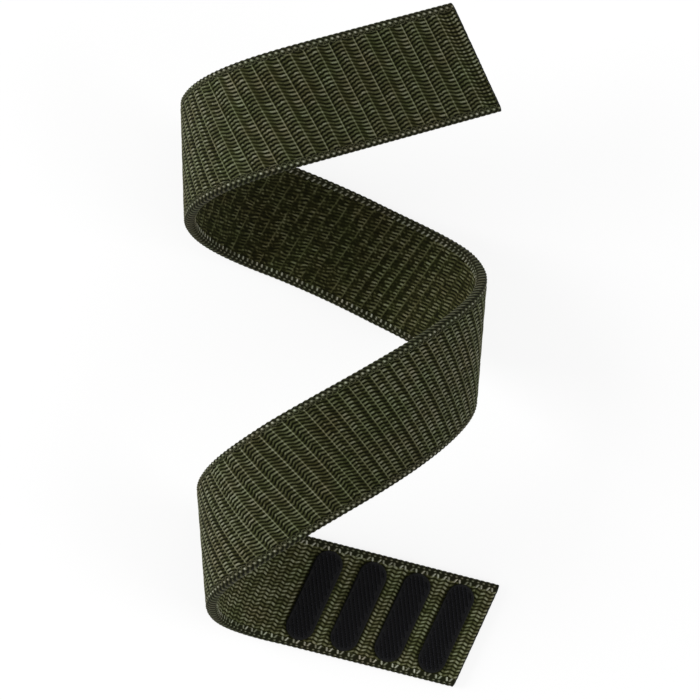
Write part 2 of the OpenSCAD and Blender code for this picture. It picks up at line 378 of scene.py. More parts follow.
LOWER_PART = [(150, 20, -1)]
UPPER_CLIMB = [(0.04, 0.12, 0.36), (0.2, 0.14, 0.4), (0.48, 0.34, -0.76)]
LOWER_CLIMB = [(0.08, 0.2, 0.74), (0.56, 0.28, -0.74)]
EVEN_SINK = [(0.4, 0.42, -0.42)]
SHADED_CELL = [(0.78, 0.08, 1), (0.93, 0.06, -1)]
LOWER_LATE, BRIGHT = 0.08, 0.93
THREAD_WIDTH, LAST_THREAD = 0.14, 0.7
END_BEAD, END_BEAD_WIDTH, END_BEAD_STOP = 0.95, 0.24, 4


def pile_tone(phase, even, lower):
    """Shade of the cords' ridges and of the holes between them, by the phase; the holes' low
    shade is painted shade. Beyond the last thread a cord shows six short bright turns to a
    whole phase."""
    q, half = phase % 1, (2 * phase) % 1
    late = q - LOWER_LATE * lower
    wavy = np.interp(late, WAVY_AT, WAVY)
    wavy = wavy + 0.45 * lower * (BRIGHT - wavy)
    body = wavy * (1 - even) + np.interp(half, EVEN_AT, EVEN) * even
    body = np.where(phase > 0.5, 0.55 + 0.45 * np.cos(2 * np.pi * 3 * phase) ** 2, body)
    body = body * (1 - 0.3 * even * stair(q, SHADED_CELL))
    hole = np.interp(late, WAVY_HOLE_AT, WAVY_HOLE) * (1 - even) * (1 - 0.6 * lower)
    return body, hole + np.interp(half, EVEN_HOLE_AT, EVEN_HOLE) * even


def cross_thread(phase, w, even):
    """Strength, 0 to 1, of the threads across: strong at whole phases, weaker halfway."""
    number = np.round(2 * phase)
    power = np.where(number % 2 == 0, 1 - 0.1 * even, 0.78 + 0.1 * even)
    power = power * (0.84 + 0.16 * chance(np.floor(w / 1.3) + 40, number))
    across = bell((2 * phase - number) * THREAD_GAP / 2, 0, THREAD_WIDTH)
    return power * (phase < LAST_THREAD) * across


def pile_weave(s, w):
    """Height and shade, 0 to 1, of the outer face at s along the flat strap and w across it.
    The phase counts strong threads. After one of them every cord climbs over holes, painted
    near black as shade, up to the weak thread, then sinks over plain cloth and ends in a bright
    loop. In the even part each thread is followed by bright dashes and sinking strands. The
    lower part is the half of the strap nearer the tail, where the cords stay level for longer."""
    phase = np.interp(s - w * np.interp(s, LEAN_PLACE, THREAD_LEAN), COUNT_AT, COUNT)
    even, lower = 1 + stair(s, EVEN_PART), 1 + stair(s, LOWER_PART)
    q, half = phase % 1, (2 * phase) % 1
    climb = stair(q, UPPER_CLIMB) * (1 - lower) + stair(q, LOWER_CLIMB) * lower
    lift = climb * (1 - even) + stair(half, EVEN_SINK) * even
    cord, lit, row = cords(w / ROW + lift + 0.3 * (drift(s / 1.6, w / 2.4) - 0.5))
    luck = chance(row, np.floor(2 * phase))
    tint = chance(row, np.floor(4 * phase + 0.2), 3)
    body, hole = pile_tone(phase, even, lower)
    thread = cross_thread(phase, w, even)
    height = 0.1 + 0.78 * cord ** 0.7 * (0.7 + 0.3 * body) * (0.88 + 0.14 * luck)
    # The dark holes between the cords are painted shade, and the light on the cords' ridges and
    # threads is partly painted highlight.
    shade = hole + (0.95 * body * (0.75 + 0.38 * tint) - hole) * lit
    # Painted light and shade along the strap: paler on the bends, darker between them.
    shade = shade * np.interp(s, PAINTED_LIGHT_SHADE_AT, PAINTED_LIGHT_SHADE)
    bead = bell(CLOTH - s + w * BIAS, END_BEAD, END_BEAD_WIDTH) * cord ** 1.5
    bead = bead * (w < END_BEAD_STOP)
    height = np.maximum(height * (1 - thread) + 0.95 * thread, bead)
    shade = shade * (1 - thread) + (0.9 + 0.12 * lit) * thread + 0.6 * bead
    return height, np.clip(shade, 0, 1)


sample = pile_weave(np.linspace(200, 270, 900)[:, None], np.linspace(-8, 8, 300)[None])
print("pile height from", sample[0].min().round(2), "to", sample[0].max().round(2),
      "mean shade", sample[1].mean().round(2))

# %% Inner patterns
RIDGE_WIDTH, SPECK, RUNG_RISE, RUNG_FALL = 0.13, 0.5, 0.08, 0.14
LOOSE_PART, EARLY_PART = [(164, 12, 1)], [(152, 6, -1)]


def knit_weave(s, w):
    """Height and shade of the inner face near the tail: wavy cords that zigzag over two
    cells, with a neck at each turn."""
    phase = (s - BIAS * w) / KNIT_CELL
    zigzag = 2 * np.abs((phase / 2) % 1 - 0.5)
    wander = 0.3 * (drift(s / 1.9, w / 2.1) - 0.5)
    cord, lit, row = cords(w / KNIT_ROW + 0.38 * ease(zigzag) + wander)
    column, t = np.floor(phase), phase % 1
    luck, tint = chance(row, column, 1), chance(row, column, 5)
    span = np.sin(np.pi * np.clip(t, 0.03, 0.97)) ** 0.7
    height = 0.1 + 0.82 * cord ** 0.8 * (0.35 + 0.65 * span) * (0.8 + 0.25 * luck)
    # Dark between the cords and at each neck: painted shade in the gaps of the knit.
    shade = 0.92 * (0.3 * cord + 0.7 * lit) * (0.25 + 0.75 * span) * (0.64 + 0.6 * tint)
    return np.clip(height, 0, 1), np.clip(0.08 + shade, 0, 1)


def rib_weave(s, w):
    """Height and shade of the inner face near the far end: ridges across, short uneven rungs
    beside them, and sinking strands between. The ridges break up toward the far end."""
    phase = (s - BIAS * w - RIDGE_AT) / RIDGE_GAP
    q, column, near = phase % 1, np.floor(phase), np.round(phase)
    loose, early = stair(s, LOOSE_PART), 1 + stair(s, EARLY_PART)
    sway = drift(w / 1.3, s / 1.5) - 0.5
    wander = (0.45 + 0.25 * loose) * sway
    cord, lit, row = cords(w / RUNG_ROW + 0.3 * (column % 2) - 0.5 * q + wander)
    luck, tint = chance(row, column, 2), chance(row, column, 6)
    reach = 0.36 + 0.2 * early + 0.25 * (luck - 0.5)
    whole = np.clip(2.8 * drift(w / 0.9, phase * 1.3) - 0.6, 0.15, 1)
    rung = ease(q / RUNG_RISE) * (1 - ease((q - reach) / RUNG_FALL))
    rung = rung * (1 - (0.1 + 0.8 * loose) * (1 - whole))
    ridge = bell((phase - near + 0.06 * sway) * RIDGE_GAP, 0, RIDGE_WIDTH) * (1 - 0.7 * early)
    fade = np.clip(2.4 * drift(w / 1.2 + 60, near * 3.7) - 0.5, 0.12, 1)
    ridge = ridge * (1 - (0.3 + 0.7 * loose) * (1 - fade))
    ridge = ridge * (0.7 + 0.3 * drift(w / 0.5, near * 5.3))
    part = phase * 3 + 0.5 * w
    speck = chance(np.floor(w / SPECK + 0.6 * part), np.floor(part), 8)
    spot = speck ** 2 * cord * np.sin(np.pi * (part % 1)) ** 0.6 * (1 - rung)
    # Between the rungs the strands stay dark, near black in the gaps: painted shade.
    plain = 0.03 + 0.16 * lit * (0.4 + 0.6 * luck) + 0.12 * drift(w / 0.7, s / 0.6)
    bright = 0.82 * rung * lit ** 1.5 * (0.64 + 0.5 * tint) * (1 - 0.15 * loose - 0.14 * early)
    height = 0.12 + 0.66 * rung * cord ** 0.8 + 0.3 * cord * (1 - rung) + 0.3 * spot
    shade = plain * (1 - rung) + bright + 0.6 * spot
    height = height * (1 - ridge) + 0.95 * ridge
    return np.clip(height, 0, 1), np.clip(shade * (1 - ridge) + 0.76 * ridge, 0, 1)


# %% Inner face
MIX_LENGTH, TAIL_MARGIN, PRESS_AND_SHADE_REACH = 12.0, 4.0, 0.6
LEAN_AXIS = np.array([np.sin(BIAS_A), np.cos(BIAS_A)])


def segment_distance(m, w):
    """Distance from a point of the flat tail, given from a pad's middle, to the leaning
    segment down that pad: the distance to the nearest point between the segment's ends."""
    along = np.clip(m * LEAN_AXIS[0] + w * LEAN_AXIS[1], -PAD_HALF, PAD_HALF)
    return np.hypot(m - along * LEAN_AXIS[0], w - along * LEAN_AXIS[1])


def pad_distance(m, w):
    """Distance from a point of the flat tail to the nearest pad's outline, in millimetres: a
    pad is everything within half its width of its segment."""
    return np.min([segment_distance(m - middle, w) for middle in PAD_M], axis=0) - PAD_WIDTH / 2


def inner_weave(s, w, u):
    """Inner face: flat knit up to the crest, ridges after it, pressed flat round the pads and
    darkened there by a painted shade.
    """
    mix = ease((u - MIDDLE[2]) / MIX_LENGTH + 0.5)
    height, shade = (a * (1 - mix) + b * mix for a, b in zip(knit_weave(s, w), rib_weave(s, w)))
    on_tail = u < START[1] + TAIL_MARGIN
    # Round the pads the relief is pressed lower, and its shade is darkened as a painted shade
    # beside the raised pads.
    press_and_shade = np.where(on_tail, 1 - ease(pad_distance(s, w) / PRESS_AND_SHADE_REACH), 0)
    return height * (1 - 0.5 * press_and_shade), shade * (1 - 0.55 * press_and_shade)


sample = np.meshgrid(np.linspace(2, 32, 600), np.linspace(-8, 8, 300), indexing="ij")
print("knit mean shade", knit_weave(*sample)[1].mean().round(2),
      "with the pads' rims", inner_weave(*sample, sample[0])[1].mean().round(2))

# %% [markdown]
# ## Spans
# A rigid link can't bend, but cloth can. So each visual span runs from the middle of one link
# to the middle of the next, across their hinge. The tail with its pads and the far end ride
# on one body each. Spans meet along the strap's rulings, and at the two cut ends along the
# leaning cut.

# %% Spans
# A row of LINKS is a bend's name, its stretch of the profile, and its number of links. A span
# is its own name, the one or two bodies that it rides on, and where it starts and stops.
LINKS = [("near", 1, 4), ("crest", 2, 2), ("right", 3, 3), ("ground", 4, 1), ("far", 5, 4)]
HEAD_INSET, EDGE_STEP, BLEND_INSET, SEAL_SHOWN = 7.0, 0.125, 0.8, 0.32
TAIL_STOP = START[1] - PAD_CLEAR
HEAD_STOP = START[6] + HEAD_INSET
spans = [("tail", "tail", None, None, TAIL_STOP)]
body, at = "tail", TAIL_STOP
for stem, i, count in LINKS:
    for k in range(count):
        link = stem if count == 1 else f"{stem}_{k + 1}"
        stop = START[i] + (k + 0.5) * LENGTH[i] / count
        spans.append((link, body, link, at, stop))
        body, at = link, stop
spans.append(("head_bend", body, "head", at, HEAD_STOP))
spans.append(("head", "head", None, HEAD_STOP, None))
print(len(spans), "spans:", ", ".join(span[0] for span in spans))


def span_grid(span, w, step):
    """Profile places u of every row and column of a span. Rows follow the rulings, and lean
    with the cut at the strap's two ends."""
    first = np.full(len(w), span[3]) if span[3] is not None else cut_u(SEAL_SHOWN, w)
    last = np.full(len(w), span[4]) if span[4] is not None else cut_u(CLOTH - SEAL_SHOWN, w)
    slope = np.sqrt(1 + rise_at(np.array([first.mean(), last.mean()])) ** 2).mean()
    rows = int(np.ceil((last - first).mean() * slope / step)) + 1
    t = np.linspace(0, 1, rows)[:, None]
    return first * (1 - t) + last * t


def cloth_map(u, w):
    """Flat map in metres: length along the cloth, and place across it."""
    u, w = np.broadcast_arrays(u, w)
    return np.stack([cloth_length(u) - w * rise_at(u), w], axis=-1) * MM


def attach(thing, span, node):
    """Rides on one body, or across a hinge keeps its points where they are, and stands for a
    CAD node, which it hides."""
    _, one, other, start, stop = span
    if other is None:
        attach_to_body(thing, one)
    else:
        middle_y = place((start + stop) / 2, 0, 0)[1]
        ends = [place(u, 0, 0) for u in (start + BLEND_INSET, stop - BLEND_INSET)]
        for end in ends:
            end[1] = middle_y
        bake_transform(thing)
    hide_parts(node)


def node_name(layer, span):
    """The CAD node that a span's piece stands for."""
    return f"{layer}_{'head' if span[0] == 'head_bend' else span[0]}"


# %% Pile and web
LAYER_OVERLAP, BACK_COLUMNS = 0.12, 3
MIDDLE_W = WIDTH / 2 - EDGE + LAYER_OVERLAP
PILE_COLUMN, WEB_COLUMN, PILE_STEP, WEB_STEP = 0.105, 0.12, 0.13, 0.145
SHOWN_AS = {"loops": "pile", "web": "knit"}


def layer_piece(layer, span):
    """One span of the pile or the web: a woven face of fine columns, with its height cut
    inward from the CAD face, and a plain back of three columns."""
    outer = layer == "loops"
    count = int(round(2 * MIDDLE_W / (PILE_COLUMN if outer else WEB_COLUMN))) + 1
    face_w = np.linspace(-MIDDLE_W, MIDDLE_W, count)
    back_w = np.linspace(MIDDLE_W, -MIDDLE_W, BACK_COLUMNS)
    w = np.r_[face_w, back_w] if outer else np.r_[back_w[::-1], face_w[::-1]]
    is_face = np.r_[np.ones(count, bool), np.zeros(BACK_COLUMNS, bool)]
    is_face = is_face if outer else np.roll(is_face, BACK_COLUMNS)
    u = span_grid(span, w, PILE_STEP if outer else WEB_STEP)
    wide = np.broadcast_to(w, u.shape)
    s = cloth_length(u) - wide * rise_at(u)
    if outer:
        height, shade = pile_weave(s, wide)
        n = np.where(is_face, -HALF_T + PILE_RELIEF * (1 - height), PILE_BACK)
    else:
        height, shade = inner_weave(s, wide, u)
        n = np.where(is_face, HALF_T - KNIT_RELIEF * (1 - height), PILE_BACK)
    quads, caps = ring_faces(*u.shape)
    points = place(u, wide, n).reshape(-1, 3)
    thing = mesh_object(f"{SHOWN_AS[layer]}_{span[0]}", points, quads, caps, shade.ravel(),
                        cloth_map(u, wide).reshape(-1, 2))
    attach(thing, span, node_name(layer, span))
    return thing


pieces = {"loops": [layer_piece("loops", span) for span in spans],
          "web": [layer_piece("web", span) for span in spans]}
for layer in ("loops", "web"):
    print(layer, "quads", sum(len(piece.data.polygons) for piece in pieces[layer]))

# %% [markdown]
# ## Beaded edges
# Along each side the weft yarn turns back. On the outer face its turns stand up as bright
# round beads, about one a millimetre, and on the inner face as slanting pairs with small dots
# beside them. A bead could be an instance on a curve. Here the edge is one rounded tube whose
# section swells and shrinks as it goes, so it can bend.

# %% Edges
BEAD, BEAD_W, EDGE_RELIEF, EDGE_CORE, EDGE_FLAT = 1.04, 9.32, 0.24, 9.2, 9.28
EDGE_POINTS, EDGE_ARC, EDGE_ROUND = 9, 24, 2.4
BEAD_WIDTH, LEG_W, LEG_R, LEG_WIDTH = 0.33, BEAD_W - 0.34, 0.4, 0.13
TURN_W, DOT_W, DOT_WIDTH, RIM_W, SIDE_W, SIDE_BLUR = 8.4, 9.52, 0.19, 9.5, 9.72, 0.25
PAIRED_PART = [(44, 6, -1)]
EDGE_OVERLAP, HIDDEN_SHADE = 0.06, 0.05


def edge_section():
    """Closed section of an edge: flat on both faces near the weave, rounded outside. Gives
    the distance from the strap's middle, the depth from -1 to 1, and which points are
    hidden."""
    start = WIDTH / 2 - EDGE - EDGE_OVERLAP
    flat = np.linspace(start, EDGE_FLAT, EDGE_POINTS, endpoint=False)
    angle = np.linspace(-np.pi / 2, np.pi / 2, EDGE_ARC)
    power = 2 / EDGE_ROUND
    round_w = EDGE_FLAT + (WIDTH / 2 - EDGE_FLAT) * np.cos(angle) ** power
    round_n = np.sign(angle) * np.abs(np.sin(angle)) ** power
    far = np.r_[flat, round_w, flat[::-1], start, start]
    deep = np.r_[np.full(EDGE_POINTS, -1.0), round_n, np.ones(EDGE_POINTS), 0.4, -0.4]
    return far, deep, np.r_[np.zeros(len(far) - 2, bool), True, True]


def bead_weave(s, far, deep):
    """Height and shade of an edge by the place along it, the distance from the middle and the
    depth: beads and their legs on the outer face, slanting turns on the inner one, paired near
    the tail, and a slanting row of stitches round the side."""
    count = s / BEAD
    nearest = np.round(count)
    luck = chance(nearest % 97, nearest)
    # Each bead is brightest on its top, up to near white: a painted highlight on the turn of the
    # yarn.
    bead = wave(count) ** 0.85 * bell(far, BEAD_W, BEAD_WIDTH) * (0.75 + 0.22 * luck)
    ring = 0.5 * bell(np.hypot((count - nearest) * BEAD, far - LEG_W), LEG_R, LEG_WIDTH)
    rim = wave(count + 0.5 + 0.8 * (far - RIM_W) + 0.35 * deep)
    outer = np.maximum(bead, np.maximum(ring, 0.36 * rim ** 2 * (far > 9.1)))
    paired = 1 + stair(s, PAIRED_PART)
    lean = np.where(nearest % 2 == 0, 1, -1) * 0.36 * paired + 0.3 * (1 - paired)
    turn = wave(count + lean * (far - TURN_W)) ** 1.4
    turn = turn * ease((9.3 - far) / 0.25) * ease((far - 8.35) / 0.2 + paired)
    dot = wave(count) * bell(far, DOT_W, DOT_WIDTH)
    inner = np.maximum(turn * (0.73 + 0.27 * luck), (0.85 - 0.05 * paired) * dot)
    inner = np.maximum(inner, 0.24 - 0.03 * paired)
    side, face = ease((far - SIDE_W) / SIDE_BLUR), ease(0.5 + deep)
    # Where beads, turns and the side's stitches fall away the shade drops to near black: painted
    # shade in the gaps.
    shade = (outer * (1 - face) + inner * face) * (1 - side) + (0.04 + 0.56 * rim) * side
    height = (np.maximum(outer, 0.2) * (1 - face) + inner * face) * (1 - side)
    height = height + (0.35 + 0.65 * rim) * side
    return np.clip(0.1 + 0.9 * height, 0, 1), np.clip(shade, 0, 1)


def edge_piece(span):
    """Upper and lower edge of one span, each a tube carried along the strap that shrinks
    between its beads."""
    section, depth, hidden = edge_section()
    parts = []
    for side in (-1, 1):
        order = slice(None) if side == 1 else slice(None, None, -1)
        far, deep, inside = section[order], depth[order], hidden[order]
        u = span_grid(span, side * far, EDGE_STEP)
        s = cloth_length(u) - side * far * rise_at(u)
        height, shade = bead_weave(s - BIAS * side * far, far, deep)
        scale = np.where(inside, 1, 1 - EDGE_RELIEF * (1 - height))
        w = side * (EDGE_CORE + (far - EDGE_CORE) * scale)
        points = place(u, w, HALF_T * deep * scale)
        parts.append((points, cloth_map(u, w), np.where(inside, HIDDEN_SHADE, shade)))
    first = parts[0][0].shape[0] * len(section)
    faces = [ring_faces(*part[0].shape[:2], first * k) for k, part in enumerate(parts)]
    thing = mesh_object(
        f"selvedge_{span[0]}", np.concatenate([points.reshape(-1, 3) for points, _, _ in parts]),
        np.concatenate([quads for quads, _ in faces]), [cap for _, caps in faces for cap in caps],
        np.concatenate([shade.ravel() for _, _, shade in parts]),
        np.concatenate([flat.reshape(-1, 2) for _, flat, _ in parts]))
    attach(thing, span, node_name("edges", span))
    return thing


pieces["edges"] = [edge_piece(span) for span in spans]
print("edges quads", sum(len(piece.data.polygons) for piece in pieces["edges"]))

# %% [markdown]
# ## The cut size
# The real strap is one woven band, cut 20 mm wide and about 277 mm long before it was coiled.
# Each stretch of the web is listed with its own part of that length, and the pile and edges
# woven into it go with it. A stretch shorter than a centimetre goes with the one before it.

# %% Cut size
SHORTEST_SHEET = 10.0
sheets = []
for span, web, loops, edges in zip(spans, pieces["web"], pieces["loops"], pieces["edges"]):
    start = 0.0 if span[3] is None else cloth_length(span[3])
    length = (CLOTH if span[4] is None else cloth_length(span[4])) - start
    if length < SHORTEST_SHEET:
        sheets[-1]["length"] += length
        sheets[-1]["others"] += [web, loops, edges]
    else:
        sheets.append({"web": web, "length": length, "others": [loops, edges]})
print(len(sheets), "stretches of cloth, together",
      round(sum(sheet["length"] for sheet in sheets), 1), "mm")

# %% [markdown]
# ## Sealed ends
# Nylon frays where it is cut, so the ends are melted with a hot blade. That leaves a thin dark
# bead of fused yarn, a little lumpy. It could be a box with noise on it. A tube carried across
# the strap gives the same bead with rounded corners.

# %% Seals
SEAL_POINTS, SEAL_STEP, SEAL_INSET, SEAL_SUNK, SEAL_ROUND = 20, 0.16, 0.05, 0.04, 2.3


def flattened(a):
    """A sine or cosine pushed outward, so that a circle becomes a rounded rectangle."""
    return np.sign(a) * np.abs(a) ** (2 / SEAL_ROUND)


def seal_piece(name, body, rib):
    """A lumpy bead across a cut end: a rounded section, 0.6 mm long, carried along the cut."""
    count = int((WIDTH - 2 * SEAL_INSET) / SEAL_STEP)
    w = np.linspace(-WIDTH / 2 + SEAL_INSET, WIDTH / 2 - SEAL_INSET, count)[:, None]
    angle = np.linspace(0, 2 * np.pi, SEAL_POINTS, endpoint=False)[None]
    lumps = CHANCE[:count, :SEAL_POINTS]
    lumps = (lumps + np.roll(lumps, 1, 1) + np.roll(lumps, 1, 0)) / 3
    swell = 0.86 + 0.22 * lumps
    swell = swell * np.sqrt(np.clip(1 - (np.abs(w) / (WIDTH / 2)) ** 24, 0.2, 1))
    along = SEAL / 2 * flattened(np.cos(angle)) * swell
    deep = (HALF_T - SEAL_SUNK) * flattened(np.sin(angle)) * swell
    u = cut_u(rib, w) + along / TAIL_SLOPE
    points = place(u, np.broadcast_to(w, u.shape), deep)
    quads, caps = ring_faces(*u.shape)
    thing = mesh_object(f"melted_{name}", points.reshape(-1, 3), quads[:, ::-1],
                        [cap[::-1] for cap in caps], lumps.ravel(),
                        cloth_map(u, w).reshape(-1, 2))
    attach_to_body(thing, body)
    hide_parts(name)
    return thing


seals = [seal_piece("seal_tail", "tail", SEAL / 2),
         seal_piece("seal_head", "head", CLOTH - SEAL / 2)]
print("seal quads", [len(seal.data.polygons) for seal in seals])

# %% [markdown]
# ## Hook pads
# Each pad is a moulded nylon strip with round ends, welded to the tail, with rows of tiny
# hooks that catch the pile. The rows run on a slant. Every hook could be a curve with a
# bevel. A shared ring of points, placed a thousand times by numpy, makes the same small hook
# with few faces.

# %% Pads
SIDE_AXIS = np.array([np.cos(BIAS_A), -np.sin(BIAS_A)])
OUTLINE_POINTS = 72


def tail_point(m, w, n):
    """Point of the flat tail at the cloth length m, across by w, in metres."""
    return place((m + w * RISE[0]) / TAIL_SLOPE, w, n)


def pad_ring(middle, inset, n):
    """Outline of a pad, drawn in by inset: a circle split in two halves, moved apart."""
    angle = np.linspace(0, 2 * np.pi, OUTLINE_POINTS, endpoint=False) + np.pi / OUTLINE_POINTS
    radius = PAD_WIDTH / 2 - inset
    side = radius * np.cos(angle)
    along = radius * np.sin(angle) + np.sign(np.sin(angle)) * PAD_HALF
    m = middle + side * SIDE_AXIS[0] + along * LEAN_AXIS[0]
    w = side * SIDE_AXIS[1] + along * LEAN_AXIS[1]
    return tail_point(m, w, n)


def pad_shell(name, middle, profile):
    """A flat moulded form: the pad's outline carried up a profile of (inset, height)."""
    rings = np.stack([pad_ring(middle, inset, HALF_T + height) for inset, height in profile])
    quads, caps = ring_faces(*rings.shape[:2])
    # Darker low on the pad's rim and lighter on its top: painted shade round the pad's edge.
    tone = np.repeat(np.linspace(0.2, 0.8, len(profile)), OUTLINE_POINTS)
    return mesh_object(name, rings.reshape(-1, 3), quads, caps, tone)


BASE_PROFILE = [(0.12, -0.3), (0.02, -0.12), (0.0, 0.0), (0.0, 0.14), (0.05, 0.24),
                (0.14, 0.29), (0.3, 0.3), (0.42, 0.27), (0.6, 0.26)]
HOOK_ROW, HOOK_GAP, HOOK_REACH, HOOK_SUNK = 0.74, 0.44, 0.22, 0.05
HOOK_RINGS, CURL_FROM, CURL_A = 6, 0.35, np.radians(150)
ROW_LEAN = np.radians(8.0)


def hook_shape():
    """One hook: a tapering stem that rises and curls over, as six square rings."""
    t = np.linspace(0, 1, HOOK_RINGS)
    bend = CURL_A * np.clip((t - CURL_FROM) / (1 - CURL_FROM), 0, 1)
    reach = 0.14 * (1 - np.cos(bend))
    rise = 0.36 * np.clip(t / CURL_FROM, 0, 1) + 0.16 * np.sin(bend)
    thick = 0.10 - 0.05 * t
    corners = np.array([[-1, -1], [1, -1], [1, 1], [-1, 1]])
    ring = np.zeros((HOOK_RINGS, 4, 3))
    ring[:, :, 0] = reach[:, None] + thick[:, None] * corners[:, 0] * np.cos(bend)[:, None]
    ring[:, :, 1] = 1.2 * thick[:, None] * corners[:, 1]
    ring[:, :, 2] = rise[:, None] - thick[:, None] * corners[:, 0] * np.sin(bend)[:, None]
    return ring


def hook_spots(middle):
    """Places of a pad's hooks in the row frame, in millimetres: leaning rows, every second one
    shifted by half a gap, as far as they fit inside the rim."""
    reach = PAD_HALF + PAD_WIDTH / 2
    rows = np.arange(-int(reach / HOOK_ROW) * 2, int(reach / HOOK_ROW) * 2 + 1)
    steps = np.arange(-int(reach / HOOK_GAP) * 2, int(reach / HOOK_GAP) * 2 + 1)
    row, step = np.meshgrid(rows, steps, indexing="ij")
    across = row * HOOK_ROW
    along = (step + 0.5 * (row % 2)) * HOOK_GAP
    down = np.array([np.sin(ROW_LEAN), -np.cos(ROW_LEAN)])
    over = np.array([np.cos(ROW_LEAN), np.sin(ROW_LEAN)])
    centre = tail_point(middle, 0, 0)[:2] / MM
    spot = (centre + along[..., None] * down + across[..., None] * over).reshape(-1, 2)
    u = TAIL / 2 - spot[:, 0]
    w = (KNOT_Y[0] + u * RISE[0] - spot[:, 1]) / TAIL_SLOPE
    m = TAIL_SLOPE * u - w * RISE[0]
    return spot[segment_distance(m - middle, w) < PAD_WIDTH / 2 - HOOK_RIM - HOOK_REACH]


def hook_field(name, middle):
    """One copy of the hook on each spot of a pad, turned and sized a little by chance."""
    spot, ring = hook_spots(middle), hook_shape()
    luck = CHANCE.ravel()[:len(spot)]
    size = (0.92 + 0.16 * luck)[:, None, None, None]
    aim = ROW_LEAN + np.radians(90 + 14 * (luck - 0.5))
    cos, sin = np.cos(aim)[:, None, None], np.sin(aim)[:, None, None]
    local = ring[None] * size
    x = local[..., 0] * cos - local[..., 1] * sin + spot[:, 0, None, None]
    y = local[..., 0] * sin + local[..., 1] * cos + spot[:, 1, None, None]
    z = local[..., 2] + 2 * HALF_T + BASE_T - HOOK_SUNK
    points = np.stack([x, y, z], axis=-1) * MM
    one, ends = ring_faces(HOOK_RINGS, 4)
    first = (np.arange(len(spot)) * HOOK_RINGS * 4)[:, None, None]
    quads = (one[None] + first).reshape(-1, 4)
    lids = (np.array(ends)[None] + first).reshape(-1, 4)
    # Each hook is darker at its foot and lighter toward its tip, a painted shade deep among the
    # hooks, and differs a little by chance.
    tone = np.broadcast_to(np.linspace(0.1, 1, HOOK_RINGS)[None, :, None], points.shape[:3])
    thing = mesh_object(name, points.reshape(-1, 3), np.concatenate([quads, lids]), (),
                        (tone * (0.7 + 0.3 * luck[:, None, None])).ravel(), smooth=False)
    return thing, len(spot)


pads = {"base": [], "hooks": []}
for k, middle in enumerate(PAD_M):
    base = pad_shell(f"pad_base_{k + 1}", middle, BASE_PROFILE)
    hooks, count = hook_field(f"pad_hooks_{k + 1}", middle)
    for thing, kind, node in ((base, "base", "hook_base"), (hooks, "hooks", "hook_field")):
        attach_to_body(thing, "tail")
        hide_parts(f"{node}_{k + 1}")
        pads[kind].append(thing)
    print("pad", k + 1, "hooks", count, "quads", len(hooks.data.polygons))

# %% [markdown]
# ## Materials
# Every finish is dyed or moulded nylon. The woven ones take their colour from the shade that
# the weave's formula stored on each point, from near black in the gaps, a painted shade, to a
# pale grey green on the raised yarn, lighter where painted highlights fall on its tops. An
# image of cloth would repeat and blur, and a shader pattern alone wouldn't follow the raised
# yarn.


# %% Colour and node helpers
def linear(code):
    """Linear colour from an sRGB hex code."""
    part = np.array([int(code[i:i + 2], 16) for i in (1, 3, 5)]) / 255
    low, high = part / 12.92, ((part + 0.055) / 1.055) ** 2.4
    return (*np.where(part <= 0.04045, low, high).tolist(), 1.0)


def add(tree, kind, inputs=None, **settings):
    """Adds a node, sets its properties, and sets or links its inputs."""
    node = tree.nodes.new(kind)
    for key, value in settings.items():
        setattr(node, key, value)
    for key, value in (inputs or {}).items():
        if isinstance(value, bpy.types.NodeSocket):
            tree.links.new(value, node.inputs[key])
        else:
            node.inputs[key].default_value = value
    return node


def blank(owner):
    """The emptied node tree of a material or of the world."""
    owner.use_nodes = True
    owner.node_tree.nodes.clear()
    return owner.node_tree


def ramp(tree, source, stops):
    """A colour ramp through the stops (place, hex code)."""
    node = add(tree, "ShaderNodeValToRGB", {"Fac": source})
    while len(node.color_ramp.elements) < len(stops):
        node.color_ramp.elements.new(0.5)
    for element, (spot, code) in zip(node.color_ramp.elements, stops):
        element.position = spot
        element.color = linear(code)
    return node.outputs["Color"]


def noise(tree, source, size_mm, detail):
    """Noise from 0 to 1, with features of about the given size."""
    inputs = {"Vector": source, "Scale": 1 / (size_mm * MM), "Detail": detail}
    return add(tree, "ShaderNodeTexNoise", inputs).outputs["Fac"]


def stored_shade(tree):
    """The shade that a piece's formula stored on each point."""
    return add(tree, "ShaderNodeAttribute", attribute_name="tone").outputs["Fac"]


def ray_kind(tree, *kinds):
    """1 for a ray of any of the kinds, else 0."""
    path = add(tree, "ShaderNodeLightPath")
    found = path.outputs[kinds[0]]
    for kind in kinds[1:]:
        inputs = {0: found, 1: path.outputs[kind]}
        found = add(tree, "ShaderNodeMath", inputs, operation="MAXIMUM").outputs[0]
    return found


# %% Woven nylon
FILAMENT_MM = (0.5, 0.09)
BLOTCH_MM, FILAMENT_SHADE, FILAMENT_HEIGHT_MM = 5.0, 0.08, 0.06


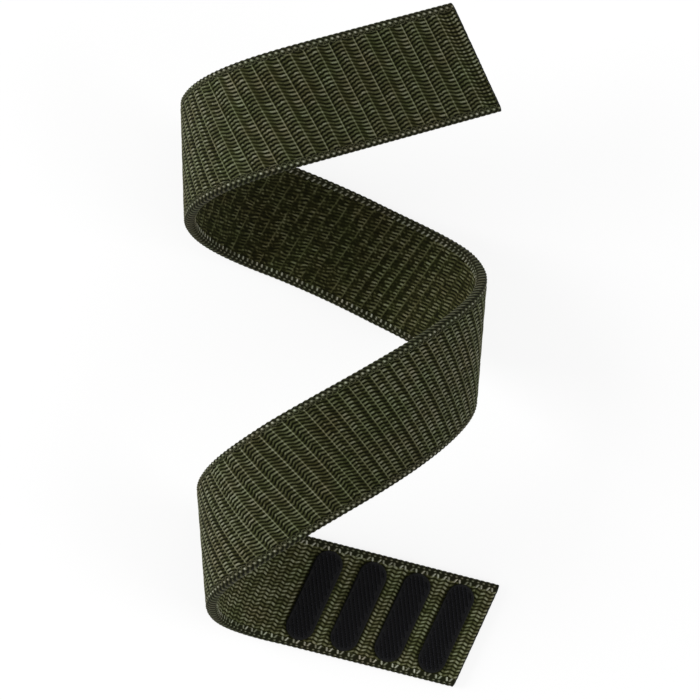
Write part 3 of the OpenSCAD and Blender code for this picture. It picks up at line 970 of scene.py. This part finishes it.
def woven_nylon(name, roughness, *codes):
    """Dyed nylon yarn: the stored shade picks the colour, slow noise shifts its hue a little,
    and a stretched fine noise stands for filaments, drawn coarser than the real 0.03 mm."""
    material = bpy.data.materials.new(name)
    tree = blank(material)
    flat = add(tree, "ShaderNodeUVMap", uv_map="cloth").outputs["UV"]
    scale = [1 / (size * MM) for size in FILAMENT_MM]
    stretched = add(tree, "ShaderNodeMapping", {"Vector": flat, "Scale": (*scale, 1)})
    filament = add(tree, "ShaderNodeTexNoise", {
        "Vector": stretched.outputs["Vector"], "Scale": 1.0, "Detail": 3.0}).outputs["Fac"]
    blotch = noise(tree, add(tree, "ShaderNodeTexCoord").outputs["Object"], BLOTCH_MM, 2.0)
    fine = add(tree, "ShaderNodeMapRange", {
        "Value": filament, "From Min": 0.25, "From Max": 0.75,
        "To Min": -FILAMENT_SHADE, "To Max": FILAMENT_SHADE}).outputs["Result"]
    varied = add(tree, "ShaderNodeMath", {0: stored_shade(tree), 1: fine},
                 operation="ADD", use_clamp=True).outputs[0]
    colour = ramp(tree, varied, [(k / 4, code) for k, code in enumerate(codes)])
    hue = ramp(tree, blotch, [(0.32, "#fff5ee"), (0.5, "#fffefa"), (0.68, "#f7fff0")])
    tinted = add(tree, "ShaderNodeMix", {"Factor": 1.0, 6: colour, 7: hue},
                 data_type="RGBA", blend_type="MULTIPLY").outputs[2]
    bump = add(tree, "ShaderNodeBump", {
        "Height": filament, "Strength": 0.35, "Distance": FILAMENT_HEIGHT_MM * MM})
    shader = add(tree, "ShaderNodeBsdfPrincipled", {
        "Base Color": tinted, "Roughness": roughness, "Normal": bump.outputs["Normal"],
        "Specular IOR Level": 0.06, "IOR": 1.53, "Sheen Weight": 0.14, "Sheen Roughness": 0.3,
        "Sheen Tint": linear("#a3a38c")})
    add(tree, "ShaderNodeOutputMaterial", {"Surface": shader.outputs["BSDF"]})
    return material


finishes = {
    "loops": woven_nylon("woven_nylon_pile", 0.8,
                         "#050500", "#181907", "#32341b", "#54563f", "#808270"),
    "web": woven_nylon("knitted_nylon_ground", 0.8,
                       "#080801", "#24250f", "#46472b", "#696a50", "#8b8d77"),
    "edges": woven_nylon("beaded_nylon_selvedge", 0.75,
                         "#050502", "#1a1b0c", "#4b4c38", "#7d7e70", "#c4c5b8"),
}
for layer, finish in finishes.items():
    for piece in pieces[layer]:
        piece.data.materials.append(finish)
print("woven finishes:", ", ".join(finish.name for finish in finishes.values()))


# %% Moulded and melted nylon
def moulded_nylon(name, stops, roughness, grain_mm, bump_mm):
    """Black or melted nylon: plastic gloss broken by a fine grain."""
    material = bpy.data.materials.new(name)
    tree = blank(material)
    grain = noise(tree, add(tree, "ShaderNodeTexCoord").outputs["Object"], grain_mm, 3.0)
    mixed = add(tree, "ShaderNodeMath", {0: stored_shade(tree), 1: grain},
                operation="MULTIPLY").outputs[0]
    rough = add(tree, "ShaderNodeMapRange", {
        "Value": grain, "To Min": roughness - 0.08, "To Max": roughness + 0.08})
    bump = add(tree, "ShaderNodeBump", {
        "Height": grain, "Strength": 0.4, "Distance": bump_mm * MM})
    shader = add(tree, "ShaderNodeBsdfPrincipled", {
        "Base Color": ramp(tree, mixed, stops), "Roughness": rough.outputs["Result"],
        "Normal": bump.outputs["Normal"], "Specular IOR Level": 0.1, "IOR": 1.53})
    add(tree, "ShaderNodeOutputMaterial", {"Surface": shader.outputs["BSDF"]})
    return material


moulded = [
    (seals, moulded_nylon("melted_nylon_seal",
                          [(0.0, "#0a0b06"), (0.6, "#23251a")], 0.5, 0.5, 0.05)),
    (pads["base"], moulded_nylon("moulded_nylon_hook_base",
                                 [(0.0, "#070708"), (0.7, "#131314")], 0.62, 0.3, 0.02)),
    (pads["hooks"], moulded_nylon("moulded_nylon_hooks",
                                  [(0.0, "#060608"), (0.7, "#1f1f25")], 0.5, 0.3, 0.01)),
]
for things, finish in moulded:
    for thing in things:
        thing.data.materials.append(finish)
print("moulded finishes:", ", ".join(finish.name for _, finish in moulded))

# %% [markdown]
# ## Floor and light
# The photograph is a cut-out on white. The floor is white paper that the camera sees as
# nearly white, and it keeps the coil's soft shadow. The light is a pale dome with one large
# lamp above and to the left and a weaker one to the right.

# %% Floor
FLOOR_M, FLOOR_GAP_MM = 3.0, 0.02
PAPER, FAINT, GLOW = 0.85, 0.2, 0.83
WHITE = (1, 1, 1, 1)


def white_paper():
    """Plain white paper. To the camera and in gloss it mostly glows white, so that the shadow
    stays faint. Every other ray meets a matt white sheet."""
    material = bpy.data.materials.new("white_paper_floor")
    tree = blank(material)
    seen = ray_kind(tree, "Is Camera Ray", "Is Glossy Ray", "Is Transmission Ray")
    paper, faint = (add(tree, "ShaderNodeBsdfDiffuse", {"Color": (grey, grey, grey, 1)})
                    for grey in (PAPER, FAINT))
    glow = add(tree, "ShaderNodeEmission", {"Color": WHITE, "Strength": GLOW})
    white = add(tree, "ShaderNodeAddShader", {0: faint.outputs[0], 1: glow.outputs[0]})
    both = add(tree, "ShaderNodeMixShader", {
        0: seen, 1: paper.outputs[0], 2: white.outputs[0]})
    add(tree, "ShaderNodeOutputMaterial", {"Surface": both.outputs[0]})
    return material


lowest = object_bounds()[0][2]
corners = np.array([[-1, -1], [1, -1], [1, 1], [-1, 1]]) * FLOOR_M / 2
floor = mesh_object("floor", np.c_[corners, np.full(4, lowest - FLOOR_GAP_MM * MM)],
                    np.array([[0, 1, 2, 3]]), smooth=False)
floor.data.materials.append(white_paper())
print("floor at z", round(lowest / MM, 3), "mm")

# %% Light
CENTRE = Vector((-0.010, 0.047, 0.015))
DOME_LIGHT = 0.42


def studio_lamp(name, spot, size, share):
    """A square lamp whose light, falling straight on a white surface at the object, adds the
    given share of full white: its power is share × pi² × distance²."""
    data = bpy.data.lights.new(name, "AREA")
    data.size = size
    spot = Vector(spot)
    data.energy = share * np.pi ** 2 * (spot - CENTRE).length_squared
    lamp = bpy.data.objects.new(name, data)
    lamp.location = spot
    lamp.rotation_euler = (spot - CENTRE).to_track_quat("Z", "Y").to_euler()
    bpy.context.scene.collection.objects.link(lamp)
    return lamp


# The dome is full white to the camera and in gloss, and gives less light to all else.
world = bpy.data.worlds.new("studio_dome")
bpy.context.scene.world = world
tree = blank(world)
seen = ray_kind(tree, "Is Camera Ray", "Is Glossy Ray")
strength = add(tree, "ShaderNodeMapRange", {"Value": seen, "To Min": DOME_LIGHT, "To Max": 1.0})
dome = add(tree, "ShaderNodeBackground", {"Color": WHITE, "Strength": strength.outputs["Result"]})
add(tree, "ShaderNodeOutputWorld", {"Surface": dome.outputs[0]})
lamps = [studio_lamp("key_lamp", (-0.8, 0.22, 0.45), 0.45, 0.74),
         studio_lamp("fill_lamp", (0.66, -0.15, 0.5), 0.6, 0.36)]
print("lamp powers in watts", [round(lamp.data.energy, 2) for lamp in lamps])

# %% [markdown]
# ## Finish
# The view transform stays plain, so that a colour renders about as it is written.

# %% Finish
bpy.context.scene.view_settings.view_transform = "Standard"
